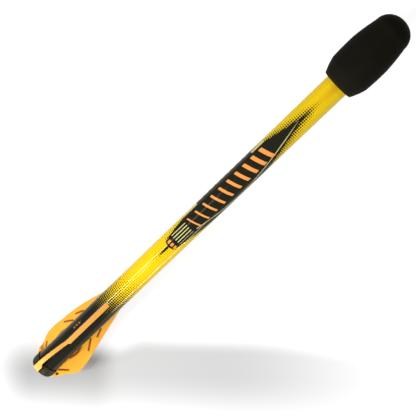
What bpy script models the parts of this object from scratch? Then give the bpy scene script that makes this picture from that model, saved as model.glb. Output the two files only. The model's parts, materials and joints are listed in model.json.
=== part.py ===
"""Soft training javelin: foam nose, printed plastic tube and three foam tail fins.

Metres, +Z up. The javelin lies along X, with its tail at the origin and its nose at +X.
Every station along X is counted from the flat end of the tail cap.
"""
import bpy
import bmesh
import numpy as np
from math import cos, pi, radians, sin
from mathutils import Matrix, Vector

# Clearances
GAP = 0.0003            # between two pieces that touch on the real javelin
SIDES = 48              # sides of every turned piece, a multiple of three for the fins

# Tube and its printed sleeve
TUBE_R = 0.0156
TUBE_WALL = 0.0016
TUBE_LENGTH = 0.606
SLEEVE_WALL = 0.0004
SLEEVE_UNDER_NOSE = 0.0167

# Foam nose
NOSE_LENGTH = 0.1107
NOSE_OVERLAP = 0.0627   # length of tube hidden in the foam
NOSE_RIM_R = 0.0222
NOSE_RIM_ROUND = 0.0016
NOSE_FLARE = 0.0203     # length of the flare behind the barrel
NOSE_FLARE_BULGE = 0.0006
NOSE_SHOULDER_R = 0.0290
NOSE_BARREL = 0.0340
NOSE_BARREL_BULGE = 0.0004
NOSE_R = 0.0296         # at the barrel's front end
NOSE_TAPER_BULGE = 0.0005
NOSE_TIP_LENGTH = 0.0230
NOSE_TIP_R = 0.0249
NOSE_TIP_POWER = 2.06   # 2 is an ellipse, and more is squarer
NOSE_TIP_STEPS = 9

# Pieces inside the front of the tube
PLUG_HEAD = 0.0030
PLUG_DOME = 0.0030
PLUG_SPIGOT = 0.0200
PLUG_CHAMFER = 0.0008
SLUG_LENGTH = 0.0250
SLUG_CHAMFER = 0.0010
RETAINER_LENGTH = 0.0080
RETAINER_WALL = 0.0022

# Tail cap
CAP_R = 0.0176
CAP_LENGTH = 0.0141
CAP_ROUND = 0.0022      # how far the rounded end draws in
CAP_ROUND_LENGTH = 0.0070
CAP_ROUND_STEPS = 5
CAP_SPIGOT = 0.0180
CAP_WALL = 0.0025
CAP_END_WALL = 0.0060
NOTCH_DEPTH = 0.0046
NOTCH_RUNOUT = 0.0010   # how far a notch runs on into the spigot

# Fins, seen flat
FIN_COUNT = 3
FIN_TOP_R = 0.0394      # farthest reach from the axis
FIN_LENGTH = 0.1425
FIN_BLUNT = 0.0006      # height of the front end over the sleeve
HEEL_BACK = 0.0008      # the heel stops short of the cap's flat end
HEEL_TOP_R = 0.0184
HEEL_SHOULDER = (0.0118, 0.0265)
HEEL_STEP = (0.0162, 0.0278)
TOP_BACK = 0.0292       # stations of the two ends of the fin's level top
TOP_FRONT = 0.0478
LEADING_BEND = (0.1080, 0.0260)
TOP_BACK_ROUND = 0.018
TOP_FRONT_ROUND = 0.070
LEADING_ROUND = 0.120

# Fins across: the rear half is thinner and bent sideways, and the heel is thick on one side
FIN_THICK = 0.0070
FLAP_FRONT_THICK = 0.0052
FLAP_BACK_THICK = 0.0061
HEEL_THICK = 0.0092
FIN_SWAY = 0.0056       # sideways step of the heel, which makes the javelin spin
SWAY_POWER = 1.4
BEND_LEAN = 0.5         # the bend lines lean back by this share of the distance down from the top
SWAY_START = 0.0750     # the stations below are those at the fin's top
SWAY_END = 0.0220
KINK = 0.0012           # length of the step from the full sheet to the thinner flap
HEEL_FRONT_THIN = 0.0244
HEEL_FRONT_THICK = 0.0206
SWAY_STEPS = 6

# The two lower fins lean over from their roots, the way that all three are bent: the station, and
# the angle in degrees that a point at the fin's top goes round the tube
SIDE_LEAN = ((0.0115, 0.0), (0.0150, 6.0), (0.0450, 6.2), (0.0740, 10.5), (0.1120, 0.0))

# Fin roots
TONGUE_THICK = 0.0040
TONGUE_BACK = 0.0790
TONGUE_FRONT = 0.1370
TONGUE_DEPTH = 0.0060   # how far the tongue reaches into the core
CORE_LENGTH = 0.0700
CORE_BORE_R = 0.0035

# Pins through the heels
PIN_R = 0.0010
PIN_STATION = 0.0095
PIN_HEIGHT = 0.0183     # from the javelin's axis
PIN_HEAD_R = 0.0020
PIN_HEAD = 0.0007
PIN_SIDES = 16
EAR_THICK = 0.0014
EAR_EYE_R = 0.0020
EAR_STEPS = 8

# Sizes that follow from the ones above
TUBE_BORE_R = TUBE_R - TUBE_WALL
INSERT_R = TUBE_BORE_R - GAP
SLEEVE_IN_R = TUBE_R + GAP
SLEEVE_R = SLEEVE_IN_R + SLEEVE_WALL
TUBE_BACK = CAP_LENGTH + GAP
TUBE_END = TUBE_BACK + TUBE_LENGTH
NOSE_BACK = TUBE_END - NOSE_OVERLAP
SLEEVE_END = NOSE_BACK + SLEEVE_UNDER_NOSE
NOSE_TIP = NOSE_BACK + NOSE_LENGTH
PLUG_BACK = TUBE_END - PLUG_SPIGOT
SLUG_END = PLUG_BACK - GAP
SLUG_BACK = SLUG_END - SLUG_LENGTH
RETAINER_END = SLUG_BACK - GAP
CAP_BORE_R = INSERT_R - CAP_WALL
EYE_R = PIN_R + GAP
EAR_ROOT_R = CAP_BORE_R + GAP
NOTCH_R = CAP_R - NOTCH_DEPTH
HEEL_FLOOR_R = NOTCH_R + GAP
HEEL_NEAR = FIN_THICK / 2 + FIN_SWAY    # the heel's face on the side it is bent towards
HEEL_FAR = HEEL_NEAR - HEEL_THICK
NOTCH_NEAR = HEEL_NEAR + GAP
NOTCH_FAR = HEEL_FAR - GAP
EAR_FACE = NOTCH_FAR - EAR_THICK
ROOT_BACK = CAP_LENGTH - GAP
LEAN_ROOT_R = CAP_R + GAP
TONGUE_R = INSERT_R - TONGUE_DEPTH
CORE_BACK = (TONGUE_BACK + TONGUE_FRONT - CORE_LENGTH) / 2

FOAM_BLACK = (0.010, 0.010, 0.009)
FOAM_ORANGE = (0.95, 0.42, 0.07)
PRINT_YELLOW = (0.86, 0.66, 0.01)
PLASTIC_BLACK = (0.022, 0.023, 0.018)
PLASTIC_GREY = (0.16, 0.16, 0.16)
STEEL = (0.52, 0.53, 0.55)


def clear_scene():
    for thing in list(bpy.data.objects):
        bpy.data.objects.remove(thing, do_unlink=True)


def new_collection(name):
    group = bpy.data.collections.new(name)
    bpy.context.scene.collection.children.link(group)
    return group


def finish(name, colour, roughness, metallic=0.0):
    mat = bpy.data.materials.new(name)
    mat.use_nodes = True
    shader = mat.node_tree.nodes["Principled BSDF"]
    shader.inputs["Base Color"].default_value = (*colour, 1)
    shader.inputs["Roughness"].default_value = roughness
    shader.inputs["Metallic"].default_value = metallic
    return mat


def add_object(name, mesh, group, mat=None):
    thing = bpy.data.objects.new(name, mesh)
    group.objects.link(thing)
    if mat:
        mesh.materials.append(mat)
    return thing


def as_cutter(thing):
    thing.hide_render = True
    thing.display_type = "WIRE"
    return thing


def boolean(thing, other, operation):
    mod = thing.modifiers.new(f"{operation.lower()} {other.name}", "BOOLEAN")
    mod.object = other
    mod.operation = operation
    mod.solver = "EXACT"


def smooth(thing, angle=32):
    thing.data.shade_smooth()
    thing.data.set_sharp_from_angle(angle=radians(angle))


def turned(name, profile, group, mat, closed=False, sides=SIDES):
    """Spin a profile of (station, radius) points, front to back on its outer side, about X."""
    bm = bmesh.new()
    points = [bm.verts.new((radius, 0, station)) for station, radius in profile]
    for a, b in zip(points, points[1:]):
        bm.edges.new((a, b))
    if closed:
        bm.edges.new((points[-1], points[0]))
    mesh = bpy.data.meshes.new(name)
    bm.to_mesh(mesh)
    bm.free()
    thing = add_object(name, mesh, group, mat)
    screw = thing.modifiers.new("turn", "SCREW")
    screw.axis = "Z"
    screw.steps = sides
    screw.render_steps = sides
    screw.use_merge_vertices = True
    screw.merge_threshold = 0.00001
    screw.use_smooth_shade = True
    thing.rotation_euler = (0, pi / 2, 0)
    return thing


def ring_profile(back, front, inner, outer):
    return [(front, inner), (front, outer), (back, outer), (back, inner)]


def block(name, low, high, group, mat=None):
    """An upright box between two corners."""
    bm = bmesh.new()
    bmesh.ops.create_cube(bm, size=1)
    size = [b - a for a, b in zip(low, high)]
    middle = [(a + b) / 2 for a, b in zip(low, high)]
    bmesh.ops.scale(bm, vec=size, verts=bm.verts)
    bmesh.ops.translate(bm, vec=middle, verts=bm.verts)
    mesh = bpy.data.meshes.new(name)
    bm.to_mesh(mesh)
    bm.free()
    return add_object(name, mesh, group, mat)


def rod(name, radius, start, end, sides, turn, group, mat=None):
    """A cylinder about X or, with turn, about another axis, from start to end."""
    bm = bmesh.new()
    length = end - start
    place = turn @ Matrix.Translation((0, 0, (start + end) / 2))
    bmesh.ops.create_cone(bm, cap_ends=True, segments=sides, radius1=radius, radius2=radius,
                          depth=length, matrix=place)
    mesh = bpy.data.meshes.new(name)
    bm.to_mesh(mesh)
    bm.free()
    return add_object(name, mesh, group, mat)


def rounded_corner(before, corner, after, radius, steps):
    """Points along the arc that rounds one corner of an outline."""
    a, c, b = Vector(before), Vector(corner), Vector(after)
    to_a, to_b = (a - c).normalized(), (b - c).normalized()
    half = to_a.angle(to_b) / 2
    reach = radius * cos(half) / sin(half)
    centre = c + (to_a + to_b).normalized() * (radius / sin(half))
    first, last = (c + to_a * reach - centre).normalized(), (c + to_b * reach - centre).normalized()
    ways = [first.lerp(last, i / steps).normalized() for i in range(steps + 1)]
    return [tuple(centre + way * radius) for way in ways]


def fin_angles():
    return [2 * pi * i / FIN_COUNT for i in range(FIN_COUNT)]


def sway_stations():
    """Stations at which the foam changes its slope or its thickness, at the fin's top."""
    bend_end = SWAY_START - KINK
    step = (bend_end - HEEL_FRONT_THIN) / SWAY_STEPS
    bends = [HEEL_FRONT_THIN + step * i for i in range(SWAY_STEPS + 1)]
    return [HEEL_FRONT_THICK, *bends, SWAY_START]


def fin_near_face(station):
    """Distance of a fin's face from its straight middle plane, on the side it is bent towards."""
    share = (station - SWAY_END) / (SWAY_START - SWAY_END)
    share = min(max(share, 0), 1)
    return FIN_THICK / 2 + FIN_SWAY * (1 - share ** SWAY_POWER)


def fin_thickness(station):
    """The foam's thickness: thick heel, thinner bent flap, full sheet in front."""
    if station <= HEEL_FRONT_THICK:
        return HEEL_THICK
    if station <= HEEL_FRONT_THIN:
        share = (station - HEEL_FRONT_THICK) / (HEEL_FRONT_THIN - HEEL_FRONT_THICK)
        return HEEL_THICK + (FLAP_BACK_THICK - HEEL_THICK) * share
    if station < SWAY_START - KINK / 2:
        share = (station - HEEL_FRONT_THIN) / (SWAY_START - KINK - HEEL_FRONT_THIN)
        return FLAP_BACK_THICK + (FLAP_FRONT_THICK - FLAP_BACK_THICK) * share
    return FIN_THICK


def fin_outline():
    """The fin seen flat, as (station, distance from the axis), starting at the heel."""
    tip = (FIN_LENGTH, SLEEVE_R + GAP + FIN_BLUNT)
    top_back, top_front = (TOP_BACK, FIN_TOP_R), (TOP_FRONT, FIN_TOP_R)
    rear = rounded_corner(HEEL_STEP, top_back, top_front, TOP_BACK_ROUND, 4)
    front = rounded_corner(top_back, top_front, LEADING_BEND, TOP_FRONT_ROUND, 3)
    leading = rounded_corner(top_front, LEADING_BEND, tip, LEADING_ROUND, 2)
    return [(HEEL_BACK, HEEL_FLOOR_R), (HEEL_BACK, HEEL_TOP_R), HEEL_SHOULDER, HEEL_STEP,
            *rear, *front, *leading, tip, (FIN_LENGTH, HEEL_FLOOR_R)]


def pin_seat():
    """Where a pin lies, along +Y, beside the fin that stands over +X."""
    return Matrix.Translation((PIN_STATION, 0, PIN_HEIGHT)) @ Matrix.Rotation(-pi / 2, 4, "X")


def pin_eye():
    """The hole for a heel's pin, in an outline's own (station, height) points."""
    points = []
    for i in range(PIN_SIDES):
        swing = 2 * pi * (i + 0.5) / PIN_SIDES
        points.append((PIN_STATION + EYE_R * cos(swing), PIN_HEIGHT + EYE_R * sin(swing)))
    return points


def flat_curve_mesh(name, outlines, half_thickness):
    """A welded mesh made from a filled flat curve; a second outline is a hole."""
    curve = bpy.data.curves.new(name, "CURVE")
    curve.dimensions = "2D"
    curve.fill_mode = "BOTH"
    curve.extrude = half_thickness
    for outline in outlines:
        line = curve.splines.new("POLY")
        line.points.add(len(outline) - 1)
        for point, (x, y) in zip(line.points, outline):
            point.co = (x, y, 0, 1)
        line.use_cyclic_u = True
    carrier = bpy.data.objects.new(name, curve)
    bpy.context.scene.collection.objects.link(carrier)
    graph = bpy.context.evaluated_depsgraph_get()
    mesh = bpy.data.meshes.new_from_object(carrier.evaluated_get(graph))
    bpy.data.objects.remove(carrier, do_unlink=True)
    bpy.data.curves.remove(curve)
    bm = bmesh.new()
    bm.from_mesh(mesh)
    bmesh.ops.remove_doubles(bm, verts=bm.verts, dist=0.00001)
    bm.to_mesh(mesh)
    bm.free()
    return mesh


def side_lean(station, height):
    """Angle that a lower fin's point goes round the tube: none at its root, most at its top."""
    stations = [at for at, degrees in SIDE_LEAN]
    angles = [radians(degrees) for at, degrees in SIDE_LEAN]
    share = max(height - LEAN_ROOT_R, 0) / (FIN_TOP_R - LEAN_ROOT_R)
    return np.interp(station, stations, angles) * share


def cut_through(bm, point, normal):
    everything = bm.verts[:] + bm.edges[:] + bm.faces[:]
    bmesh.ops.bisect_plane(bm, geom=everything, dist=0.000001, plane_co=point, plane_no=normal)


def fin_blade_mesh(leans):
    """The foam blade, standing over +X with its outer edge up, bent towards +Y."""
    mesh = flat_curve_mesh("blade", [fin_outline(), pin_eye()], FIN_THICK / 2)
    bm = bmesh.new()
    bm.from_mesh(mesh)
    for station in sway_stations():
        cut_through(bm, (station, FIN_TOP_R, 0), (1, -BEND_LEAN, 0))
    if leans:
        cut_through(bm, (0, LEAN_ROOT_R, 0), (0, 1, 0))
        for station, degrees in SIDE_LEAN:
            cut_through(bm, (station, 0, 0), (1, 0, 0))
    for vert in bm.verts:
        station, height, side = vert.co
        top_station = station + BEND_LEAN * (FIN_TOP_R - height)
        near = fin_near_face(top_station)
        across = near if side < 0 else near - fin_thickness(top_station)
        vert.co = (station, across, height)
        if leans:
            vert.co.rotate(Matrix.Rotation(-side_lean(station, height), 3, "X"))
    bmesh.ops.recalc_face_normals(bm, faces=bm.faces)
    bm.to_mesh(mesh)
    bm.free()
    return mesh


def bowed(start, end, bulge, steps=4):
    """Points from start up to but not with end, on a shallow curve that swells by the bulge."""
    points = []
    for i in range(steps):
        share = i / steps
        station, radius = (a + (b - a) * share for a, b in zip(start, end))
        points.append((station, radius + 4 * bulge * share * (1 - share)))
    return points


def build_nose(group, foam):
    """Turned foam head with a stepped blind bore for the sleeve and the tube."""
    taper_end = NOSE_TIP - NOSE_TIP_LENGTH
    sleeve_bore = SLEEVE_R + GAP
    tube_bore = TUBE_R + GAP
    bore_end = TUBE_END + GAP + PLUG_HEAD + PLUG_DOME + GAP
    profile = []
    for i in range(NOSE_TIP_STEPS):
        swing = pi / 2 * i / NOSE_TIP_STEPS
        forward, out = (f(swing) ** (2 / NOSE_TIP_POWER) for f in (cos, sin))
        profile.append((taper_end + NOSE_TIP_LENGTH * forward, NOSE_TIP_R * out))
    shoulder = (NOSE_BACK + NOSE_FLARE, NOSE_SHOULDER_R)
    barrel_front = (shoulder[0] + NOSE_BARREL, NOSE_R)
    rim = (NOSE_BACK + NOSE_RIM_ROUND, NOSE_RIM_R)
    profile += bowed((taper_end, NOSE_TIP_R), barrel_front, NOSE_TAPER_BULGE)
    profile += bowed(barrel_front, shoulder, NOSE_BARREL_BULGE)
    profile += bowed(shoulder, rim, NOSE_FLARE_BULGE)
    profile += [rim, (NOSE_BACK, NOSE_RIM_R - NOSE_RIM_ROUND)]
    profile += [(NOSE_BACK, sleeve_bore), (SLEEVE_END + GAP, sleeve_bore)]
    profile += [(SLEEVE_END + GAP, tube_bore), (bore_end, tube_bore), (bore_end, 0)]
    smooth(turned("foam_nose", profile, group, foam))


def build_nose_plug(group, plastic):
    """Plug that closes the tube's front end, so that the edge can't cut the foam."""
    head_back = TUBE_END + GAP
    head_front = head_back + PLUG_HEAD
    profile = [(head_front + PLUG_DOME, 0)]
    for swing in (pi / 6, pi / 3, pi / 2):
        profile.append((head_front + PLUG_DOME * cos(swing), TUBE_R * sin(swing)))
    profile += [(head_back, TUBE_R), (head_back, INSERT_R), (PLUG_BACK + PLUG_CHAMFER, INSERT_R)]
    profile += [(PLUG_BACK, INSERT_R - PLUG_CHAMFER), (PLUG_BACK, 0)]
    smooth(turned("nose_plug", profile, group, plastic))


def build_slug(group, steel, plastic):
    """Steel slug that brings the balance point forward, and the cup that keeps it there."""
    edge = INSERT_R - SLUG_CHAMFER
    profile = [(SLUG_END, 0), (SLUG_END, edge), (SLUG_END - SLUG_CHAMFER, INSERT_R)]
    profile += [(SLUG_BACK + SLUG_CHAMFER, INSERT_R), (SLUG_BACK, edge), (SLUG_BACK, 0)]
    smooth(turned("ballast_slug", profile, group, steel))
    back = RETAINER_END - RETAINER_LENGTH
    web = RETAINER_END - RETAINER_WALL
    bore = INSERT_R - RETAINER_WALL
    profile = [(RETAINER_END, 0), (RETAINER_END, INSERT_R), (back, INSERT_R), (back, bore)]
    profile += [(web, bore), (web, 0)]
    smooth(turned("slug_retainer", profile, group, plastic))


def slot_cutters(group):
    """One box through the tube and sleeve for each fin's tongue."""
    half = TONGUE_THICK / 2 + GAP
    low = (TONGUE_BACK - GAP, -half, INSERT_R - GAP)
    high = (TONGUE_FRONT + GAP, half, SLEEVE_R + 10 * GAP)
    cutters = []
    for i, angle in enumerate(fin_angles()):
        cutter = as_cutter(block(f"slot_cut_{i + 1}", low, high, group))
        cutter.rotation_euler = (angle, 0, 0)
        cutters.append(cutter)
    return cutters


def build_tube(group, cutters, plastic, film):
    """Plastic tube and the printed film shrunk over it, both slotted for the fins."""
    tube = turned("tube", ring_profile(TUBE_BACK, TUBE_END, TUBE_BORE_R, TUBE_R),
                  group, plastic, closed=True)
    sleeve = turned("printed_sleeve",
                    ring_profile(TUBE_BACK, SLEEVE_END, SLEEVE_IN_R, SLEEVE_R),
                    group, film, closed=True)
    for cutter in slot_cutters(cutters):
        boolean(tube, cutter, "DIFFERENCE")
        boolean(sleeve, cutter, "DIFFERENCE")
    smooth(tube)
    smooth(sleeve)


def build_core(group, cutters, plastic):
    """Hub inside the tube whose three channels take the fins' tongues."""
    front = CORE_BACK + CORE_LENGTH
    core = turned("fin_core", ring_profile(CORE_BACK, front, CORE_BORE_R, INSERT_R),
                  group, plastic, closed=True)
    half = TONGUE_THICK / 2 + GAP
    low = (CORE_BACK - GAP, -half, TONGUE_R - GAP)
    high = (front + GAP, half, TUBE_R)
    for i, angle in enumerate(fin_angles()):
        cutter = as_cutter(block(f"channel_cut_{i + 1}", low, high, cutters))
        cutter.rotation_euler = (angle, 0, 0)
        boolean(core, cutter, "DIFFERENCE")
    smooth(core)


def ear_outline():
    """A cap ear, round over its pin, as (station, height) points."""
    points = []
    for i in range(EAR_STEPS + 1):
        swing = pi * i / EAR_STEPS
        points.append((PIN_STATION - EAR_EYE_R * cos(swing), PIN_HEIGHT + EAR_EYE_R * sin(swing)))
    return [(PIN_STATION - EAR_EYE_R, EAR_ROOT_R), *points, (PIN_STATION + EAR_EYE_R, EAR_ROOT_R)]


def ear_mesh():
    """The ear beside one heel, a little too thick until the notch trims it."""
    half = (EAR_THICK + GAP) / 2
    mesh = flat_curve_mesh("ear", [ear_outline()], half)
    bm = bmesh.new()
    bm.from_mesh(mesh)
    bmesh.ops.transform(bm, matrix=Matrix.Rotation(pi / 2, 4, "X"), verts=bm.verts)
    bmesh.ops.translate(bm, vec=(0, EAR_FACE + half, 0), verts=bm.verts)
    bmesh.ops.recalc_face_normals(bm, faces=bm.faces)
    bm.to_mesh(mesh)
    bm.free()
    return mesh


def build_cap(group, cutters, plastic):
    """Tail cap: a rounded plug with a notch and a pinned ear for each fin's heel."""
    spigot_front = CAP_LENGTH + CAP_SPIGOT
    profile = [(CAP_END_WALL, 0), (CAP_END_WALL, CAP_BORE_R), (spigot_front, CAP_BORE_R)]
    profile += [(spigot_front, INSERT_R), (CAP_LENGTH, INSERT_R), (CAP_LENGTH, CAP_R)]
    for i in range(CAP_ROUND_STEPS + 1):
        swing = pi / 2 * i / CAP_ROUND_STEPS
        back = CAP_ROUND_LENGTH * (1 - sin(swing))
        profile.append((back, CAP_R - CAP_ROUND * (1 - cos(swing))))
    profile.append((0, 0))
    cap = turned("end_cap", profile, group, plastic)
    low = (-NOTCH_RUNOUT, NOTCH_FAR, NOTCH_R)
    high = (CAP_LENGTH + NOTCH_RUNOUT, NOTCH_NEAR, PIN_HEIGHT + 2 * EAR_EYE_R)
    for i, angle in enumerate(fin_angles()):
        ear = as_cutter(add_object(f"ear_add_{i + 1}", ear_mesh(), cutters))
        notch = as_cutter(block(f"notch_cut_{i + 1}", low, high, cutters))
        eye = as_cutter(rod(f"eye_cut_{i + 1}", EYE_R, EAR_FACE - GAP, HEEL_FAR, PIN_SIDES,
                            pin_seat(), cutters))
        for cutter, operation in ((ear, "UNION"), (notch, "DIFFERENCE"), (eye, "DIFFERENCE")):
            cutter.rotation_euler = (angle, 0, 0)
            boolean(cap, cutter, operation)
    smooth(cap)


def build_pins(group, plastic):
    """One pin through each heel and its ear, with its head on the foam's other face."""
    head_back = HEEL_NEAR + GAP
    head_front = head_back + PIN_HEAD
    profile = [(head_front, 0), (head_front, PIN_HEAD_R), (head_back, PIN_HEAD_R),
               (head_back, PIN_R), (EAR_FACE, PIN_R), (EAR_FACE, 0)]
    names = ("heel_pin_top", "heel_pin_right", "heel_pin_left")
    for name, angle in zip(names, fin_angles()):
        pin = turned(name, profile, group, plastic, sides=PIN_SIDES)
        pin.matrix_world = Matrix.Rotation(angle, 4, "X") @ pin_seat()
        smooth(pin)


def build_fins(group, cutters, foam):
    """Three foam fins, each with a tongue in the core and a pinned heel in the cap."""
    trim = rod("fin_root_cut", SLEEVE_R + GAP, ROOT_BACK, FIN_LENGTH + CAP_LENGTH, SIDES,
               Matrix.Rotation(pi / 2, 4, "Y"), cutters)
    as_cutter(trim)
    half = TONGUE_THICK / 2
    low = (TONGUE_BACK, -half, TONGUE_R)
    high = (TONGUE_FRONT, half, SLEEVE_R + 4 * GAP)
    names = ("fin_top", "fin_right", "fin_left")
    for name, angle in zip(names, fin_angles()):
        tongue = as_cutter(block(f"{name}_tongue_add", low, high, cutters))
        tongue.rotation_euler = (angle, 0, 0)
        fin = add_object(name, fin_blade_mesh(leans=name != "fin_top"), group, foam)
        fin.rotation_euler = (angle, 0, 0)
        boolean(fin, trim, "DIFFERENCE")
        boolean(fin, tongue, "UNION")


clear_scene()
parts = new_collection("soft_javelin")
tools = new_collection("cutters")
black_foam = finish("black_foam", FOAM_BLACK, 0.9)
orange_foam = finish("orange_foam", FOAM_ORANGE, 0.75)
black_plastic = finish("black_plastic", PLASTIC_BLACK, 0.4)
grey_plastic = finish("grey_plastic", PLASTIC_GREY, 0.5)
yellow_film = finish("yellow_film", PRINT_YELLOW, 0.2)
bare_steel = finish("bare_steel", STEEL, 0.35, metallic=1.0)
build_nose(parts, black_foam)
build_nose_plug(parts, grey_plastic)
build_slug(parts, bare_steel, grey_plastic)
build_tube(parts, tools, grey_plastic, yellow_film)
build_core(parts, tools, grey_plastic)
build_cap(parts, tools, black_plastic)
build_pins(parts, black_plastic)
build_fins(parts, tools, orange_foam)
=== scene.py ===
# %% [markdown]
# This lesson dresses a soft training javelin. It has a black foam nose, a straight tube in a glossy
# printed film, three thick orange foam fins and a black tail cap. Its pieces were already built at
# their real size, so the script loads them as a fixed frame, swaps the plain solids for finer
# shapes, and gives every surface its finish. All lengths are in metres. The javelin lies along X
# with its nose at +X and its top fin at +Z, and stations along it are counted from the flat end of
# the tail cap.

# %% Load the frame
import json
from functools import reduce
from math import cos, exp, hypot, pi, radians, sin, sqrt

import bmesh
import bpy
from mathutils import Matrix, Vector

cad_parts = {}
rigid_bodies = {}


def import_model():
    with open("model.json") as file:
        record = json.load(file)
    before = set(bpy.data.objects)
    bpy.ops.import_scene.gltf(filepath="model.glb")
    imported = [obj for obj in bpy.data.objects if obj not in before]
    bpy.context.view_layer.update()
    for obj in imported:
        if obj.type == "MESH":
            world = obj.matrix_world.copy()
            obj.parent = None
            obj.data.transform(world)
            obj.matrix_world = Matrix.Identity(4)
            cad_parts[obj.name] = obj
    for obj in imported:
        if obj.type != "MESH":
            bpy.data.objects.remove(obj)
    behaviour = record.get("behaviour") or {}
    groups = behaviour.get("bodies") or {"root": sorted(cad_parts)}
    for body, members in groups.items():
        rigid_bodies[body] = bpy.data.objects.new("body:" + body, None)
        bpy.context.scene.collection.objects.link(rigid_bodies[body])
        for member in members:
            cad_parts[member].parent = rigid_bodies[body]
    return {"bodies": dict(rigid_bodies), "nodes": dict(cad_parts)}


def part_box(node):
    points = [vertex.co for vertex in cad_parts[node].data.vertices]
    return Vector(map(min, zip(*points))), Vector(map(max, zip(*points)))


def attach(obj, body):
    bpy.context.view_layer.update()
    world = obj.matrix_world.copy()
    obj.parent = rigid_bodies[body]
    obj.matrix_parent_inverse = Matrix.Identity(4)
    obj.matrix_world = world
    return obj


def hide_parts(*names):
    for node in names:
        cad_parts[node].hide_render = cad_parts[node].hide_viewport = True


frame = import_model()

root = next(iter(frame["bodies"]))
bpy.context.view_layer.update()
print("body:", root, "nodes:", sorted(frame["nodes"]))

# %% [markdown]
# The photograph was taken with a long lens, looking down on the javelin with the nose tilted a
# little nearer. A camera could be matched by eye, but the tube gives real numbers: it is as wide
# at one end as at the other, so how much it narrows in the picture gives the tilt and the
# distance.

# %% Camera
IMAGE_SIDE = 416
FOCAL_PX = 1050
TILT = radians(15.5)
IMAGE_TURN = radians(43.73)
AIM = Vector((0.3289, 0.0006, 0))
CAMERA_DISTANCE = 1.356
SENSOR_MM = 36


def add_object(name, data):
    made = bpy.data.objects.new(name, data)
    bpy.context.collection.objects.link(made)
    return made


away = Vector((sin(TILT), 0, cos(TILT)))
along = Vector((cos(TILT), 0, -sin(TILT)))
left = Vector((0, 1, 0))
image_right = along * cos(IMAGE_TURN) - left * sin(IMAGE_TURN)
image_up = along * sin(IMAGE_TURN) + left * cos(IMAGE_TURN)

lens = bpy.data.cameras.new("camera")
lens.sensor_width = SENSOR_MM
lens.lens = FOCAL_PX / IMAGE_SIDE * SENSOR_MM
lens.clip_start = 0.05
lens.clip_end = 20
camera = add_object("camera", lens)
turn = Matrix((image_right, image_up, away)).transposed()
camera.matrix_world = Matrix.Translation(AIM + away * CAMERA_DISTANCE) @ turn.to_4x4()
bpy.context.scene.camera = camera
print("lens:", round(lens.lens, 2), "mm, camera at", [round(v, 3) for v in camera.location])

# %% [markdown]
# A finish is a small network of nodes. It could be joined up by hand in the shader editor, but a
# few helpers make it as easy in a script. One adds a node and fills its inputs, either with
# numbers or with other nodes' outputs. The others do a sum. An output knows the network that it
# belongs to, so a sum finds its network by itself, and a formula reads almost as on paper.

# %% Node helpers
def fill(socket, value):
    if isinstance(value, bpy.types.NodeSocket):
        socket.id_data.links.new(value, socket)
    else:
        socket.default_value = value


def add_node(tree, kind, settings=(), **inputs):
    made = tree.nodes.new(kind)
    for key, value in dict(settings).items():
        setattr(made, key, value)
    for key, value in inputs.items():
        fill(made.inputs[key], value)
    return made


def calc(operation, *values):
    tree = next(v.id_data for v in values if isinstance(v, bpy.types.NodeSocket))
    made = add_node(tree, "ShaderNodeMath", {"operation": operation})
    for socket, value in zip(made.inputs, values):
        fill(socket, value)
    return made.outputs[0]


print("node helpers:", fill.__name__, add_node.__name__, calc.__name__)


# %% Sums
def plus(a, b):
    return calc("ADD", a, b)


def minus(a, b):
    return calc("SUBTRACT", a, b)


def times(a, b):
    return calc("MULTIPLY", a, b)


def over(a, b):
    return calc("DIVIDE", a, b)


def least(a, b):
    return calc("MINIMUM", a, b)


def most(a, b):
    return calc("MAXIMUM", a, b)


def remap(value, low, high, to_low=0.0, to_high=1.0, kind="LINEAR"):
    """Carries low to high over to to_low to to_high, and stops at both ends."""
    node = add_node(value.id_data, "ShaderNodeMapRange", {"interpolation_type": kind})
    for socket, number in zip(node.inputs, (value, low, high, to_low, to_high)):
        fill(socket, number)
    return node.outputs["Result"]


print("sums:", [f.__name__ for f in (plus, minus, times, over, least, most, remap)])

# %% [markdown]
# Real surfaces are never one flat colour. These helpers give the patterns that the finishes are
# mixed from: soft clouds, small cells, a blend of two colours, and a height that only shades the
# surface. Painted images would need every piece to be unwrapped. These patterns read the place on
# the javelin, so none is.

# %% Finish helpers
FINISH = "_finish"
CLOUDS_LOW, CLOUDS_HIGH = 0.3, 0.7


def new_finish(name, roughness):
    finish = bpy.data.materials.new(name + FINISH)
    finish.use_nodes = True
    shader = finish.node_tree.nodes["Principled BSDF"]
    shader.inputs["Roughness"].default_value = roughness
    return finish, finish.node_tree, shader


def place(tree):
    """Position on the javelin in metres."""
    return add_node(tree, "ShaderNodeTexCoord").outputs["Object"]


def station_of(tree):
    return add_node(tree, "ShaderNodeSeparateXYZ", Vector=place(tree)).outputs["X"]


def noise(tree, size, detail=2.0, roughness=0.5):
    """Cloudy pattern from 0 to 1 whose patches are about size across."""
    return add_node(tree, "ShaderNodeTexNoise", Vector=place(tree), Scale=1 / size,
                    Detail=detail, Roughness=roughness).outputs["Fac"]


def cells(tree, size):
    """0 at the middle of each small cell and more towards its walls."""
    return add_node(tree, "ShaderNodeTexVoronoi", Vector=place(tree),
                    Scale=1 / size).outputs["Distance"]


def clouded(pattern, low, high):
    """The cloudy pattern's usual range, carried over to low to high."""
    return remap(pattern, CLOUDS_LOW, CLOUDS_HIGH, low, high)


print("the finishes' names end in", FINISH)


# %% Colour and bump helpers
def tint(low, high, factor):
    """Colour between low and high."""
    mix = add_node(factor.id_data, "ShaderNodeMix", {"data_type": "RGBA"}, Factor=factor)
    for socket, colour in ((mix.inputs[6], low), (mix.inputs[7], high)):
        fill(socket, (*colour, 1) if isinstance(colour, tuple) else colour)
    return mix.outputs[2]


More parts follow.
